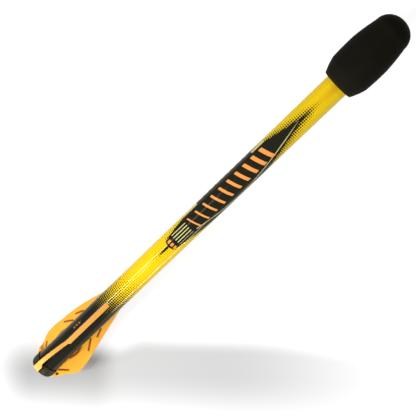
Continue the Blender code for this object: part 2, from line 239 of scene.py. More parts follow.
def bump(shader, height, depth, normal=None):
    """Shades the surface as if height, from 0 to 1, stood depth metres proud."""
    node = add_node(shader.id_data, "ShaderNodeBump", Height=height, Distance=depth, Strength=1.0)
    if normal:
        fill(node.inputs["Normal"], normal)
    fill(shader.inputs["Normal"], node.outputs["Normal"])
    return node.outputs["Normal"]


print("colour and bump helpers:", tint.__name__, bump.__name__)

# %% [markdown]
# The nose is closed-cell foam with a thin skin. It is almost black and hardly shines, with faint
# cloudy patches and cells of about half a millimetre. Modelled cells would need millions of
# faces, so they are a fine grain in the shading. Near the rim the colour has a painted
# reflection: a faint olive tint that stands for the yellow film's light bouncing onto the foam.

# %% Black foam finish
FOAM_DARK, FOAM_PALE = (0.0062, 0.0058, 0.0036), (0.0106, 0.0100, 0.0066)
# Painted reflection: the olive colour near the rim, and how far it reaches from the rim.
FOAM_RIM_REFLECTION = (0.0220, 0.0165, 0.0045)
REFLECTION_FULL_AT, REFLECTION_GONE_AT, REFLECTION_STRENGTH = 0.0010, 0.0050, 0.8

black_foam, tree, shader = new_finish("black_foam", roughness=0.62)
patches = noise(tree, size=0.02, detail=4)
grain = cells(tree, size=0.0006)
rim_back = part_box("foam_nose")[0].x
# Painted reflection of the yellow film, strongest at the rim and gone a few millimetres forward.
rim_reflection = remap(station_of(tree), rim_back + REFLECTION_FULL_AT, rim_back + REFLECTION_GONE_AT, REFLECTION_STRENGTH, 0.0)
foam_colour = tint(tint(FOAM_DARK, FOAM_PALE, patches), FOAM_RIM_REFLECTION, rim_reflection)
fill(shader.inputs["Base Color"], foam_colour)
fill(shader.inputs["Roughness"], clouded(patches, low=0.55, high=0.72))
shader.inputs["Specular IOR Level"].default_value = 0.02
grained = bump(shader, grain, depth=0.00006)
bump(shader, patches, depth=0.0004, normal=grained)
print("black foam:", len(tree.nodes), "nodes")

# %% [markdown]
# The fins are cut from orange foam sheet. The sheet's faces have a skin, the cut edges are a
# little paler and show open cells, and the pressed grooves have painted shade: a brown colour in
# their dents. A pattern in space can't know where the sheet was cut, so two painted attributes on
# the mesh say where the cut edge and the grooves are.

# %% Orange foam finish
SKIN_DARK, SKIN_PALE = (0.88, 0.385, 0.026), (0.96, 0.455, 0.040)
CUT_DARK, CUT_PALE = (0.86, 0.375, 0.060), (0.92, 0.430, 0.085)
# Painted shade: the brown in the grooves stands for the shade in their dents.
GROOVE_SHADE_BROWN = (0.21, 0.050, 0.006)


def painted(tree, name):
    return add_node(tree, "ShaderNodeAttribute", {"attribute_name": name}).outputs["Fac"]


orange_foam, tree, shader = new_finish("orange_foam", roughness=0.7)
mottle = noise(tree, size=0.006, detail=5)
pores = cells(tree, size=0.0005)
skin, cut = tint(SKIN_DARK, SKIN_PALE, mottle), tint(CUT_DARK, CUT_PALE, mottle)
foam_colour = tint(skin, cut, painted(tree, "cut_edge"))
# The grooves get painted shade in brown.
fill(shader.inputs["Base Color"], tint(foam_colour, GROOVE_SHADE_BROWN, painted(tree, "groove")))
shader.inputs["Specular IOR Level"].default_value = 0.12
shader.inputs["Sheen Weight"].default_value = 0.05
pored = bump(shader, pores, depth=0.00005)
bump(shader, mottle, depth=0.00025, normal=pored)
print("orange foam:", len(tree.nodes), "nodes")

# %% [markdown]
# The cap and its pins are moulded in black, with a fine spark-eroded grain and faint scuffs. The
# flat end, on which the javelin stands, has painted shade: its colour darkens towards the end.
# The pins could have a finish of their own, but one does for both, because the painted shade
# goes by the station, and the pins are past it.

# %% Black plastic finish
MOULD_DARK, MOULD_PALE = (0.0175, 0.0168, 0.0085), (0.0300, 0.0290, 0.0150)
# Painted shade: the darker colour of the cap's flat end, and where it fades out.
END_PAINTED_SHADE = (0.0050, 0.0048, 0.0026)
END_SHADE_FROM, END_SHADE_TO = 0.0005, 0.0100

black_plastic, tree, shader = new_finish("black_plastic", roughness=0.42)
grain = noise(tree, size=0.0004, detail=3)
scuffs = noise(tree, size=0.009, detail=6, roughness=0.7)
# Painted shade, darkest at the flat end and gone about a centimetre forward.
past_end_shade = remap(station_of(tree), END_SHADE_FROM, END_SHADE_TO)
fill(shader.inputs["Base Color"], tint(END_PAINTED_SHADE, tint(MOULD_DARK, MOULD_PALE, scuffs), past_end_shade))
fill(shader.inputs["Roughness"], clouded(scuffs, low=0.34, high=0.52))
shader.inputs["Specular IOR Level"].default_value = 0.12
shader.inputs["Specular Tint"].default_value = (1.0, 0.98, 0.60, 1)
bump(shader, grain, depth=0.00003)
print("black plastic:", len(tree.nodes), "nodes")

# %% [markdown]
# The tube and most pieces inside it are plain grey plastic with the faint streaks of a die, and
# the ballast slug is turned steel. The marks of the lathe could be cut into the mesh, but a wave
# along the axis gives them on every turned face at once.

# %% Grey plastic and steel finishes
GREY_DARK, GREY_PALE = (0.13, 0.13, 0.13), (0.19, 0.19, 0.185)
STEEL_DARK, STEEL_PALE = (0.46, 0.47, 0.48), (0.58, 0.59, 0.60)

grey_plastic, tree, shader = new_finish("grey_plastic", roughness=0.5)
streaks = noise(tree, size=0.004, detail=4)
fill(shader.inputs["Base Color"], tint(GREY_DARK, GREY_PALE, streaks))
bump(shader, streaks, depth=0.00005)
print("grey plastic:", len(tree.nodes), "nodes")

bare_steel, tree, shader = new_finish("bare_steel", roughness=0.3)
shader.inputs["Metallic"].default_value = 1.0
rings = add_node(tree, "ShaderNodeTexWave", {"bands_direction": "X"}, Vector=place(tree),
                 Scale=400.0, Distortion=0.4).outputs["Fac"]
fill(shader.inputs["Base Color"], tint(STEEL_DARK, STEEL_PALE, rings))
bump(shader, rings, depth=0.00002)
print("bare steel:", len(tree.nodes), "nodes")

# %% [markdown]
# The print wraps round the tube, so it is drawn in two flat measures: the station along the tube
# and the way round it. Both are in millimetres here. The way round starts under the top fin, and
# grows towards -Y, which is downwards in the photograph. An unwrapped picture would blur close
# up, and this stays sharp at any distance.

# %% Print coordinates
SLEEVE_R = 0.0163
MM = 1000

film, tree, shader = new_finish("printed_film", roughness=0.10)
shader.inputs["Specular IOR Level"].default_value = 0.20
shader.inputs["Specular Tint"].default_value = (1.0, 0.97, 0.74, 1)
apart = add_node(tree, "ShaderNodeSeparateXYZ", Vector=place(tree))
station = times(apart.outputs["X"], MM)
swing = calc("ARCTAN2", times(apart.outputs["Y"], -1), apart.outputs["Z"])
around = times(swing, SLEEVE_R * MM)
print("once round:", round(2 * pi * SLEEVE_R * MM, 1), "mm")

# %% [markdown]
# Black fades into yellow through rows of round dots that shrink, as in a coarse newspaper print.
# Modelled dots would be thousands of small discs. Instead, each dot sits in a square cell, and a
# point is black if it is nearer to the cell's middle than the dot's radius there. So a fade is
# only a radius that changes along the tube. The tail's fade reaches a little farther forward on
# the lower side.

# %% Halftone
DOT_PITCH, DOT_ROWS = 3.0, 36
FULL_DOT = 0.74
TAIL_BLACK, TAIL_YELLOW = 115, 213
FADE_SLANT, SLANT_REACH = 0.5, 10


def from_middle(cell):
    return minus(calc("FRACT", cell), 0.5)


cell_x = from_middle(over(station, DOT_PITCH))
cell_y = from_middle(times(swing, DOT_ROWS / (2 * pi)))
from_dot = calc("SQRT", plus(times(cell_x, cell_x), times(cell_y, cell_y)))
held_back = times(least(most(around, 0), SLANT_REACH), FADE_SLANT)
tail_dot = remap(minus(station, held_back), TAIL_BLACK, TAIL_YELLOW, FULL_DOT, 0.0)
print("halftone rows:", DOT_ROWS, "pitch:", DOT_PITCH, "mm")

# %% [markdown]
# The middle of the tube carries a long black panel. Its front runs out in a slim point. Its back
# is blunt, with a thin spike that sticks out towards the tail. It could be drawn as an outline,
# but a half width is enough: it is a formula of the distance from each end, in centimetres, and
# the narrower of the two counts. Outside the panel the dots shrink over a short way, which
# softens its sides as in the real print.

# %% Panel
CM = 10
PANEL_BACK, PANEL_FRONT, PANEL_HALF = 241, 509, 34
SPIKE_HALF, SPIKE_TIP, SPIKE_FULL = 1.7, 0.4, 1.2
SPIKE_END, BLOCK_START = 1.8, 2.0
BLOCK_HALF, BLOCK_SLOPE = 2.4, 2.1
POINT_SCALE, POINT_POWER, POINT_FULL = 0.64, 1.58, 2.2
BEYOND_SLOPE = 3.5


def beyond(distance):
    """Less than 0 past the panel's end, so that the dots there soon shrink away."""
    return times(least(distance, 0), BEYOND_SLOPE)


from_back = over(minus(station, PANEL_BACK), CM)
block_half = times(remap(from_back, SPIKE_END, BLOCK_START),
                   plus(times(from_back, BLOCK_SLOPE), BLOCK_HALF))
spike = remap(from_back, 0, SPIKE_FULL, SPIKE_TIP, SPIKE_HALF)
back_half = plus(plus(block_half, spike), beyond(from_back))

from_front = over(minus(PANEL_FRONT, station), CM)
point_half = times(calc("POWER", most(from_front, 0), POINT_POWER), POINT_SCALE)
point = remap(from_front, 0, POINT_FULL, 0.0, SPIKE_HALF)
front_half = plus(plus(point_half, point), beyond(from_front))
half_width = least(least(back_half, front_half), PANEL_HALF)
print("panel from", PANEL_BACK, "to", PANEL_FRONT, "mm")

# %% Panel's dots
DOT_REACH, HARD_EDGE = 12, 0.4
FIRST_DOT_BACK, FIRST_DOT_FRONT = 0.25, 0.55
INK_EDGE = 0.05

outside = minus(calc("ABSOLUTE", around), half_width)
first_dot = remap(station, PANEL_BACK, PANEL_FRONT, FIRST_DOT_BACK, FIRST_DOT_FRONT)
panel_dot = most(remap(outside, -HARD_EDGE, 0, FULL_DOT, 0.0),
                 remap(outside, 0, DOT_REACH, first_dot, 0.0))
black = remap(minus(most(tail_dot, panel_dot), from_dot), -INK_EDGE, INK_EDGE)
print("dots reach", DOT_REACH, "mm out of the panel")

# %% [markdown]
# The rest of the print is made of plain bands. Each could have a node network of its own, but
# masks are easier to read. A mask is 1 where a colour goes and 0 elsewhere. Multiplied masks give
# the places where all of them hold, and the largest of several gives the places where any of
# them does. Stripes repeat a band.

# %% Mask helpers
def band(value, low, high):
    """1 where value lies between low and high."""
    return calc("COMPARE", value, (low + high) / 2, (high - low) / 2)


def both(*masks):
    return reduce(times, masks)


def either(*masks):
    return reduce(most, masks)


def stripes(value, pitch, share):
    """1 on the first share of each pitch along value."""
    return calc("LESS_THAN", calc("FRACT", over(value, pitch)), share)


def patch(lengthwise, stations, ways_round):
    """1 between two stations, and between two ways round the tube."""
    return both(band(lengthwise, *stations), band(around, *ways_round))


print("mask helpers:", [f.__name__ for f in (band, both, either, stripes, patch)])

# %% [markdown]
# The middle of the panel carries a row of plain slanted orange bars that widen towards the nose.
# Each could be an outline of its own, but they slant and keep their distance by themselves when
# they are striped along a measure that falls back on the way round. A few short blocks lie behind
# them, towards the tail, and small faded marks are on the tail's black.

# %% Orange bars
BAR_PITCH, BAR_SLANT = 14.4, 0.35
BAR_THIN, BAR_WIDE = 0.16, 0.44
BARS_ALONG, BARS_ROUND = (305, 449), (-10, 10.5)
BLOCKS_ALONG, BLOCKS_ROUND, BLOCK_PITCH = (262, 267), (-8, 8), 5.4
MARKS_ALONG, MARKS_ROUND, MARK_PITCH = (82, 97), (-11, -8), 5
BLOCK_SHARE = 0.6

slanted = plus(station, times(around, -BAR_SLANT))
bar_width = remap(slanted, *BARS_ALONG, BAR_THIN, BAR_WIDE)
bars = both(stripes(minus(slanted, BARS_ALONG[0]), BAR_PITCH, bar_width),
            patch(slanted, BARS_ALONG, BARS_ROUND))
blocks = both(stripes(around, BLOCK_PITCH, BLOCK_SHARE), patch(station, BLOCKS_ALONG, BLOCKS_ROUND))
tail_marks = both(stripes(slanted, MARK_PITCH, BLOCK_SHARE), patch(station, MARKS_ALONG, MARKS_ROUND))
orange_ink = either(bars, blocks)
print("bars:", round((BARS_ALONG[1] - BARS_ALONG[0]) / BAR_PITCH), "pitch:", BAR_PITCH, "mm")

# %% [markdown]
# Behind the orange bars lie a few thin pale ones. A row of pale dashes between two short stripes
# follows the side of the panel that is the upper one in the photograph. They are striped and cut
# off as the orange ones are, because then one list of places says it all.

# %% Pale bars and dashes
THIN_ALONG, THIN_ROUND = (272, 297), (-8, 8.5)
THIN_PITCH, THIN_SHARE = 4.0, 0.30
DASHES_ALONG, DASHES_ROUND = (310, 420), (-23, -20.5)
DASH_PITCH, DASH_SHARE = 10.0, 0.5
SHORT_STRIPES = (((428, 450), (-18, -14)), ((305, 330), (-20, -16)))

pale_bars = both(stripes(around, THIN_PITCH, THIN_SHARE), patch(station, THIN_ALONG, THIN_ROUND))
dashes = both(stripes(station, DASH_PITCH, DASH_SHARE), patch(station, DASHES_ALONG, DASHES_ROUND))
short_stripes = either(*(patch(slanted, *where) for where in SHORT_STRIPES))
print("dashes:", round((DASHES_ALONG[1] - DASHES_ALONG[0]) / DASH_PITCH))

# %% [markdown]
# A thin pale line follows the lower side of the panel and fades just before the panel's point. It
# is nearly straight on both sides of a soft turn. Two straight bands would meet in a corner, so a
# square root draws it: that is a V with a round foot.

# %% Pale line
LINE_PEAK, LINE_TURN, LINE_RISE = 19.9, 22, 4.6
LINE_MIDDLE, LINE_HALF = 374, 0.55
LINE_BACK, LINE_FADE, LINE_FRONT = 303, 466, 494
LINE_FAINT = 0.2

run = over(minus(station, LINE_MIDDLE), LINE_TURN)
climb = calc("SQRT", plus(times(run, run), 1))
line_at = minus(LINE_PEAK + LINE_RISE, times(climb, LINE_RISE))
line = both(band(minus(around, line_at), -LINE_HALF, LINE_HALF),
            band(station, LINE_BACK, LINE_FRONT),
            remap(station, LINE_FADE, LINE_FRONT, 1.0, LINE_FAINT))
pale_ink = either(pale_bars, dashes, short_stripes, line)
print("line from", LINE_BACK, "to", LINE_FRONT, "mm")

# %% [markdown]
# The real film is printed in a few inks, one over another. So they are mixed here in the same
# order, from yellow up, and a later ink covers an earlier one. In front of the panel's point the
# yellow has a warmer band along its middle. The film is glossy, with faint marks of handling in
# its roughness and a ripple that is too shallow to model.

# %% Film finish
YELLOW, WARM_YELLOW = (0.90, 0.610, 0.0005), (0.68, 0.370, 0.0005)
INK_BLACK, INK_PALE = (0.0050, 0.0048, 0.0018), (0.72, 0.66, 0.26)
INK_ORANGE, INK_FADED = (0.98, 0.36, 0.075), (0.30, 0.13, 0.02)
WARM_FROM, WARM_TO, WARM_MIDDLE = 515, 550, 1.2
WARM_FULL, WARM_NONE, WARMTH = 1.5, 8.0, 0.80

off_middle = calc("ABSOLUTE", minus(around, WARM_MIDDLE))
warm_band = times(remap(station, WARM_FROM, WARM_TO),
                  remap(off_middle, WARM_FULL, WARM_NONE, WARMTH, 0.0))
print_colour = tint(YELLOW, WARM_YELLOW, warm_band)
inks = ((INK_BLACK, black), (INK_PALE, pale_ink), (INK_ORANGE, orange_ink), (INK_FADED, tail_marks))
for ink, mask in inks:
    print_colour = tint(print_colour, ink, mask)
fill(shader.inputs["Base Color"], print_colour)
handling = noise(tree, size=0.03, detail=6, roughness=0.65)
fill(shader.inputs["Roughness"], clouded(handling, low=0.08, high=0.14))
bump(shader, noise(tree, size=0.012), depth=0.00003)
print("printed film:", len(tree.nodes), "nodes")

# %% [markdown]
# Most of the javelin is turned, so one helper spins a row of points round an axis. Another hands a
# finished mesh over to the frame: the new piece rides on the javelin's body, gets its finish, and
# hides the plain solid that it stands for. Each piece could do this for itself, but then one of
# the calls would soon be forgotten.

# %% Shape helpers
MERGE = 0.000001
X_AXIS, Z_AXIS = (1, 0, 0), (0, 0, 1)


def spun(profile, axis, steps):
    """A mesh turned from a row of points round an axis through the origin."""
    bm = bmesh.new()
    points = [bm.verts.new(point) for point in profile]
    edges = [bm.edges.new(pair) for pair in zip(points, points[1:])]
    bmesh.ops.spin(bm, geom=points + edges, cent=(0, 0, 0), axis=axis, angle=2 * pi,
                   steps=steps, use_merge=True)
    bmesh.ops.remove_doubles(bm, verts=bm.verts, dist=MERGE)
    bmesh.ops.recalc_face_normals(bm, faces=bm.faces)
    return bm


def smooth_mesh(bm, name, finish):
    mesh = bpy.data.meshes.new(name)
    bm.to_mesh(mesh)
    bm.free()
    mesh.materials.append(finish)
    mesh.shade_smooth()
    return mesh


def hand_over(bm, name, finish, *nodes, angle=35):
    """Makes the mesh a piece that stands for the nodes, with sharp edges above the angle."""
    mesh = smooth_mesh(bm, name, finish)
    mesh.set_sharp_from_angle(angle=radians(angle))
    piece = add_object(name, mesh)
    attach(piece, root)
    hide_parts(*nodes)
    print(name, len(mesh.polygons), "faces", [round(v * MM, 1) for v in piece.dimensions], "mm")
    return piece


print("points nearer than", MERGE * MM, "mm are merged")

# %% [markdown]
# The nose is one moulded lump: a blunt round tip, a taper, a barrel and a flare down to the rim
# where it grips the tube. It could be a stretched sphere, but a turned profile made of the same
# few curves gives the real outline, and it keeps the bore that the tube goes into.

# %% Nose outline
NOSE_BACK, NOSE_TIP = (corner.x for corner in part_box("foam_nose"))
TIP_LENGTH, TIP_R, TIP_POWER = 0.0230, 0.0249, 2.06
SHOULDER = (NOSE_BACK + 0.0203, 0.0290)
BARREL_FRONT = (SHOULDER[0] + 0.0340, 0.0296)
RIM_R, RIM_ROUND = 0.0222, 0.0016
TAPER_BULGE, BARREL_BULGE, FLARE_BULGE = 0.0005, 0.0004, 0.0006
TIP_STEPS, RIM_STEPS = 28, 6


def bowed(start, end, bulge, steps=12):
    """Points from start up to end, on a line that stands out by the bulge halfway."""
    points = []
    for i in range(steps):
        share = i / steps
        x, r = (a + (b - a) * share for a, b in zip(start, end))
        points.append((x, r + 4 * bulge * share * (1 - share)))
    return points


tip_back = NOSE_TIP - TIP_LENGTH
rim_x, rim_z = NOSE_BACK + RIM_ROUND, RIM_R - RIM_ROUND
nose_outline = []
for i in range(TIP_STEPS):
    angle = pi / 2 * i / TIP_STEPS
    forward, out = (f(angle) ** (2 / TIP_POWER) for f in (cos, sin))
    nose_outline.append((tip_back + TIP_LENGTH * forward, TIP_R * out))
nose_outline += bowed((tip_back, TIP_R), BARREL_FRONT, TAPER_BULGE)
nose_outline += bowed(BARREL_FRONT, SHOULDER, BARREL_BULGE)
nose_outline += bowed(SHOULDER, (rim_x, RIM_R), FLARE_BULGE)
for i in range(RIM_STEPS + 1):
    angle = pi / 2 * i / RIM_STEPS
    nose_outline.append((rim_x - RIM_ROUND * sin(angle), rim_z + RIM_ROUND * cos(angle)))
print("nose outline:", len(nose_outline), "points")

# %% [markdown]
# The nose is bored from the rim in two steps: a wide one for the film and a narrower one for the
# tube beyond the film's end. The bore could be cut out of a full lump, but it is turned as well,
# so it only lengthens the profile. Its sizes are read from the frame, so the foam fits what it
# grips.

# %% Nose with its bore
CLEARANCE = 0.0003
BORE_CHAMFER = 0.0004
NOSE_STEPS = 160

sleeve_back, sleeve_front = (corner.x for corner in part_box("printed_sleeve"))
film_bore = SLEEVE_R + CLEARANCE
tube_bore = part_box("tube")[1].z + CLEARANCE
bore_step = sleeve_front + CLEARANCE
bore_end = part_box("nose_plug")[1].x + CLEARANCE
bore = [(NOSE_BACK, film_bore + BORE_CHAMFER), (NOSE_BACK + BORE_CHAMFER, film_bore),
        (bore_step, film_bore), (bore_step, tube_bore), (bore_end, tube_bore), (bore_end, 0)]
nose_mesh = spun([(x, 0, r) for x, r in nose_outline + bore], X_AXIS, NOSE_STEPS)
hand_over(nose_mesh, "nose_foam_head", black_foam, "foam_nose")

# %% [markdown]
# The print is a film shrunk tight on the tube, so it is a thin open cylinder given a wall by
# Solidify. It is split into many short facets round the tube, because it shines: a coarse
# cylinder would show its sides as bands in the reflections. A short ring at each end keeps the
# soft shading of the film's rim off the rest of it.

# %% Sleeve
FILM_WALL = 0.0004
END_RING = 0.0004
SLEEVE_RINGS, SLEEVE_STEPS = 56, 192

back, front = sleeve_back + END_RING, sleeve_front - END_RING
rings_at = [back + (front - back) * i / SLEEVE_RINGS for i in range(SLEEVE_RINGS + 1)]
film_line = [(x, 0, SLEEVE_R) for x in (sleeve_front, *reversed(rings_at), sleeve_back)]
sleeve = hand_over(spun(film_line, X_AXIS, SLEEVE_STEPS), "film_sleeve", film, "printed_sleeve")
wall = sleeve.modifiers.new("wall", "SOLIDIFY")
wall.thickness = FILM_WALL
wall.offset = -1

# %% [markdown]
# All three fins are cut to one outline. Its corners are joined by straight cuts, and each is
# rounded with its own radius: small at the heel, large along the front. A list of corners and
# radii is easier to change than a drawn curve, and the fin's sizes stay plain to see.

# %% Fin outline
FIN_LENGTH, FIN_TOP, FIN_BLUNT = 0.1425, 0.0394, 0.0172
FIN_ROOT = SLEEVE_R + CLEARANCE
CORNERS = [(0.0008, FIN_ROOT), (0.0008, 0.0184), (0.0118, 0.0265), (0.0162, 0.0278),
           (0.0292, FIN_TOP), (0.0478, FIN_TOP), (0.1080, 0.0260), (FIN_LENGTH, FIN_BLUNT)]
ROUNDS = [(0.0012, 3), (0.006, 2), (0.006, 2), (0.018, 10), (0.070, 8), (0.120, 6)]


def rounded(before, corner, after, radius, steps):
    """Points of the arc that rounds a corner."""
    a, c, b = Vector(before), Vector(corner), Vector(after)
    to_a, to_b = (a - c).normalized(), (b - c).normalized()
    half = to_a.angle(to_b) / 2
    reach = radius * cos(half) / sin(half)
    centre = c + (to_a + to_b).normalized() * (radius / sin(half))
    first, last = ((c + way * reach - centre).normalized() for way in (to_a, to_b))
    ways = [first.lerp(last, i / steps).normalized() for i in range(steps + 1)]
    return [tuple(centre + way * radius) for way in ways]


outline = [CORNERS[0]]
for (before, corner, after), (radius, steps) in zip(zip(CORNERS, CORNERS[1:], CORNERS[2:]), ROUNDS):
    outline += rounded(before, corner, after, radius, steps)
outline += [CORNERS[-1], (FIN_LENGTH, FIN_ROOT)]
print("fin outline:", len(outline), "points")

# %% [markdown]
# The outline is given the sheet's thickness and a soft edge all round, but not at the root, which
# meets the tube. It is then cut along many lines, some level and some on the slant of the bend,
# so that it can be bent and pressed without losing its outline. Cuts keep the edge as it is,
# where a remesh would blur it.

# %% Fin slab
SHEET = 0.0070
EDGE_SOFT = 0.0007
SAME = 1e-6

slab = bmesh.new()
face = slab.faces.new([slab.verts.new((x, h, -SHEET / 2)) for x, h in outline])
raised = bmesh.ops.extrude_face_region(slab, geom=[face])
lifted = [v for v in raised["geom"] if isinstance(v, bmesh.types.BMVert)]
bmesh.ops.translate(slab, vec=(0, 0, SHEET), verts=lifted)
bmesh.ops.recalc_face_normals(slab, faces=slab.faces)
soft_edges = []
for edge in slab.edges:
    on_one_face = abs(edge.verts[0].co.z - edge.verts[1].co.z) < SAME
    at_root = all(abs(v.co.y - FIN_ROOT) < SAME for v in edge.verts)
    if on_one_face and not at_root:
        soft_edges.append(edge)
bmesh.ops.bevel(slab, geom=soft_edges, offset=EDGE_SOFT, segments=3, profile=0.5,
                affect="EDGES", material=-1, clamp_overlap=True)
print("slab:", len(slab.faces), "faces")

# %% Cuts across the slab
CUT_STEP = 0.0007
BEND_LEAN = 0.5


def cut_all(bm, point, normal):
    everything = bm.verts[:] + bm.edges[:] + bm.faces[:]
    bmesh.ops.bisect_plane(bm, geom=everything, dist=MERGE / 2, plane_co=point, plane_no=normal)


lean_low = -BEND_LEAN * FIN_TOP
lean_high = FIN_LENGTH - BEND_LEAN * FIN_ROOT
for i in range(1, round((lean_high - lean_low) / CUT_STEP)):
    cut_all(slab, (lean_low + CUT_STEP * i, 0, 0), (1, -BEND_LEAN, 0))
for i in range(1, round((FIN_TOP - FIN_ROOT) / CUT_STEP)):
    cut_all(slab, (0, FIN_ROOT + CUT_STEP * i, 0), (0, 1, 0))
print("slab after the cuts:", len(slab.faces), "faces")

# %% [markdown]
# A fin's rear half is bent sideways and thinner than its front, and the heel is thick again. A
# Bend modifier could turn it, but not thin it. So both are given along the fin's top and carried
# down on the slant of the bend, the same as on the plain solid. Two short formulas are enough.

# %% Bend and thickness
SWAY, SWAY_POWER, SWAY_START, SWAY_END = 0.0056, 1.4, 0.0750, 0.0220
SHARP_KINK, SOFT_KINK = 0.0012, 0.0160
FLAP_FRONT, FLAP_BACK, HEEL = 0.0052, 0.0061, 0.0092
HEEL_THIN, HEEL_THICK = 0.0244, 0.0206


def clipped(share):
    return min(max(share, 0), 1)


def near_face(top_station):
    """How far the face on the inner side of the bend lies from the fin's own plane."""
    share = clipped((top_station - SWAY_END) / (SWAY_START - SWAY_END))
    return SHEET / 2 + SWAY * (1 - share ** SWAY_POWER)


def thickness(top_station, kink):
    """The sheet's thickness, which steps over a length of kink where the bend starts."""
    if top_station <= HEEL_THIN:
        share = clipped((top_station - HEEL_THICK) / (HEEL_THIN - HEEL_THICK))
        return HEEL + (FLAP_BACK - HEEL) * share
    share = (top_station - HEEL_THIN) / (SWAY_START - HEEL_THIN)
    flap = FLAP_BACK + (FLAP_FRONT - FLAP_BACK) * min(share, 1)
    step = clipped((top_station - SWAY_START + kink) / kink)
    return flap + (SHEET - flap) * step


print("inner face at the heel:", round(near_face(0) * MM, 2), "mm from the fin's plane")

# %% [markdown]
# Each face of the foam has four short pressed grooves, each given by its half width and its path.
# Cutting them out would leave hard walls, where pressed foam has soft ones. So a point sinks by
# how near it is to a groove's path, and the wall is as soft as the formula.

# %% Grooves
GROOVE_DEPTH = 0.0013
GROOVES = [
    (0.0013, [(0.0165, 0.0178), (0.0245, 0.0270)]),
    (0.0018, [(0.0405, 0.0166), (0.0470, 0.0186), (0.0530, 0.0190), (0.0610, 0.0170)]),
    (0.0013, [(0.0650, 0.0282), (0.0800, 0.0186)]),
    (0.0013, [(0.0885, 0.0232), (0.1005, 0.0184)]),
]
FAR_OFF = 1.0


def distance_to(x, h, path):
    nearest = FAR_OFF
    for (ax, ah), (bx, bh) in zip(path, path[1:]):
        run, rise = bx - ax, bh - ah
        share = clipped(((x - ax) * run + (h - ah) * rise) / (run * run + rise * rise))
        nearest = min(nearest, hypot(x - ax - run * share, h - ah - rise * share))
    return nearest


def sunk(x, h):
    """1 on a groove's path, and soon 0 past its half width."""
    reach = min(distance_to(x, h, path) / half for half, path in GROOVES)
    return exp(-reach ** 4)


print("grooves on each face:", len(GROOVES))

# %% [markdown]
# Every point of the flat slab now goes to its place on the bent fin. It remembers how far it sank
# in the groove attribute, so the painted shade of the grooves and the dent always agree. At the
# fin's foot the foam follows the tube's round. Modifiers could do parts of this, but one pass over
# the points keeps it in one place.

# %% Bent fin
FOOT_HEIGHT = 0.008


def bent_fin(kink):
    """A pressed and bent copy of the slab, with its cut edge and the grooves' painted shade marked on
    it.
    """
    fin = slab.copy()
    cut_edge = fin.verts.layers.float.new("cut_edge")
    groove = fin.verts.layers.float.new("groove")
    for vert in fin.verts:
        x, h, side = vert.co
        on_face = abs(side) > SHEET / 2 - SAME
        sink = sunk(x, h) if on_face else 0.0
        vert[cut_edge] = 0.0 if on_face else 1.0
        vert[groove] = sink
        top_station = x + BEND_LEAN * (FIN_TOP - h)
        share = 0.5 + side / SHEET
        inward = sink * GROOVE_DEPTH * (1 if side > 0 else -1)
        across = near_face(top_station) - thickness(top_station, kink) * share + inward
        foot = max(0, 1 - (h - FIN_ROOT) / FOOT_HEIGHT)
        drop = FIN_ROOT - sqrt(max(FIN_ROOT ** 2 - across ** 2, 0))
        vert.co = (x, across, h - drop * foot)
    bmesh.ops.recalc_face_normals(fin, faces=fin.faces)
    return fin


print("the tube's round is followed up to", FOOT_HEIGHT * MM, "mm above it")

# %% [markdown]
# Three such fins stand round the tube. They could be copies of one, but the two lower fins also
# lean over from their roots, the way that all three are bent. Each point goes a little round the
# tube: not at all at the root, and most at the fin's top. Only the top fin shows a sharp step
# where its bend starts.

# %% Three fins
LEAN = [(0.0115, 0.0), (0.0150, 6.0), (0.0450, 6.2), (0.0740, 10.5), (0.1120, 0.0)]
LEAN_ROOT = 0.0179
FINS = (("top", 0, False), ("right", 120, True), ("left", 240, True))


def lean_angle(x, h):
    """How far a point leans: smoothly from each station in the list to the next."""
    degrees = LEAN[-1][1]
    for (back, low), (front, high) in zip(LEAN, LEAN[1:]):
        if x < front:
            share = max(0, (x - back) / (front - back))
            degrees = low + (high - low) * share * share * (3 - 2 * share)
            break
    return radians(degrees) * max(h - LEAN_ROOT, 0) / (FIN_TOP - LEAN_ROOT)


def turned_by(angle):
    return Matrix.Rotation(angle, 3, "X")


for side, degrees, leans in FINS:
    fin = bent_fin(SOFT_KINK if leans else SHARP_KINK)
    if leans:
        for vert in fin.verts:
            vert.co.rotate(turned_by(-lean_angle(vert.co.x, vert.co.z)))
    bmesh.ops.rotate(fin, cent=(0, 0, 0), matrix=turned_by(radians(degrees)), verts=fin.verts)
    hand_over(fin, f"foam_fin_{side}", orange_foam, f"fin_{side}", angle=50)
slab.free()

# %% [markdown]
# The cap and the pins already have their real shape, but the frame's solids are loose triangles
# with hard edges. They could be modelled again, but a merged copy keeps the shape, and every sharp
# edge gets the small round that a mould leaves, so that it catches the light.

# %% Cap and pins
CAP_EDGE, PIN_EDGE = 0.00025, 0.0001
FLAT_ANGLE, SHARP_ANGLE = radians(1), radians(40)


def moulded_copy(node, name, finish, round_off):
    bm = bmesh.new()
    bm.from_mesh(frame["nodes"][node].data)
    bmesh.ops.remove_doubles(bm, verts=bm.verts, dist=MERGE)
    bmesh.ops.dissolve_limit(bm, angle_limit=FLAT_ANGLE, verts=bm.verts, edges=bm.edges)
    sharp = [e for e in bm.edges if e.is_manifold and e.calc_face_angle() > SHARP_ANGLE]
    bmesh.ops.bevel(bm, geom=sharp, offset=round_off, segments=2, profile=0.5,
                    affect="EDGES", material=-1, clamp_overlap=True)
    hand_over(bm, name, finish, node, angle=30)


moulded_copy("end_cap", "tail_cap", black_plastic, CAP_EDGE)
for side, _, _ in FINS:
    moulded_copy(f"heel_pin_{side}", f"heel_rivet_{side}", black_plastic, PIN_EDGE)

# %% [markdown]
# The tube lies under the film, and the plug, the slug, its cup and the fins' hub lie in the tube.
# They could be modelled more finely too, but nobody sees them unless the javelin is taken apart.
# So their plain solids stay, with the finish of what they are made of.

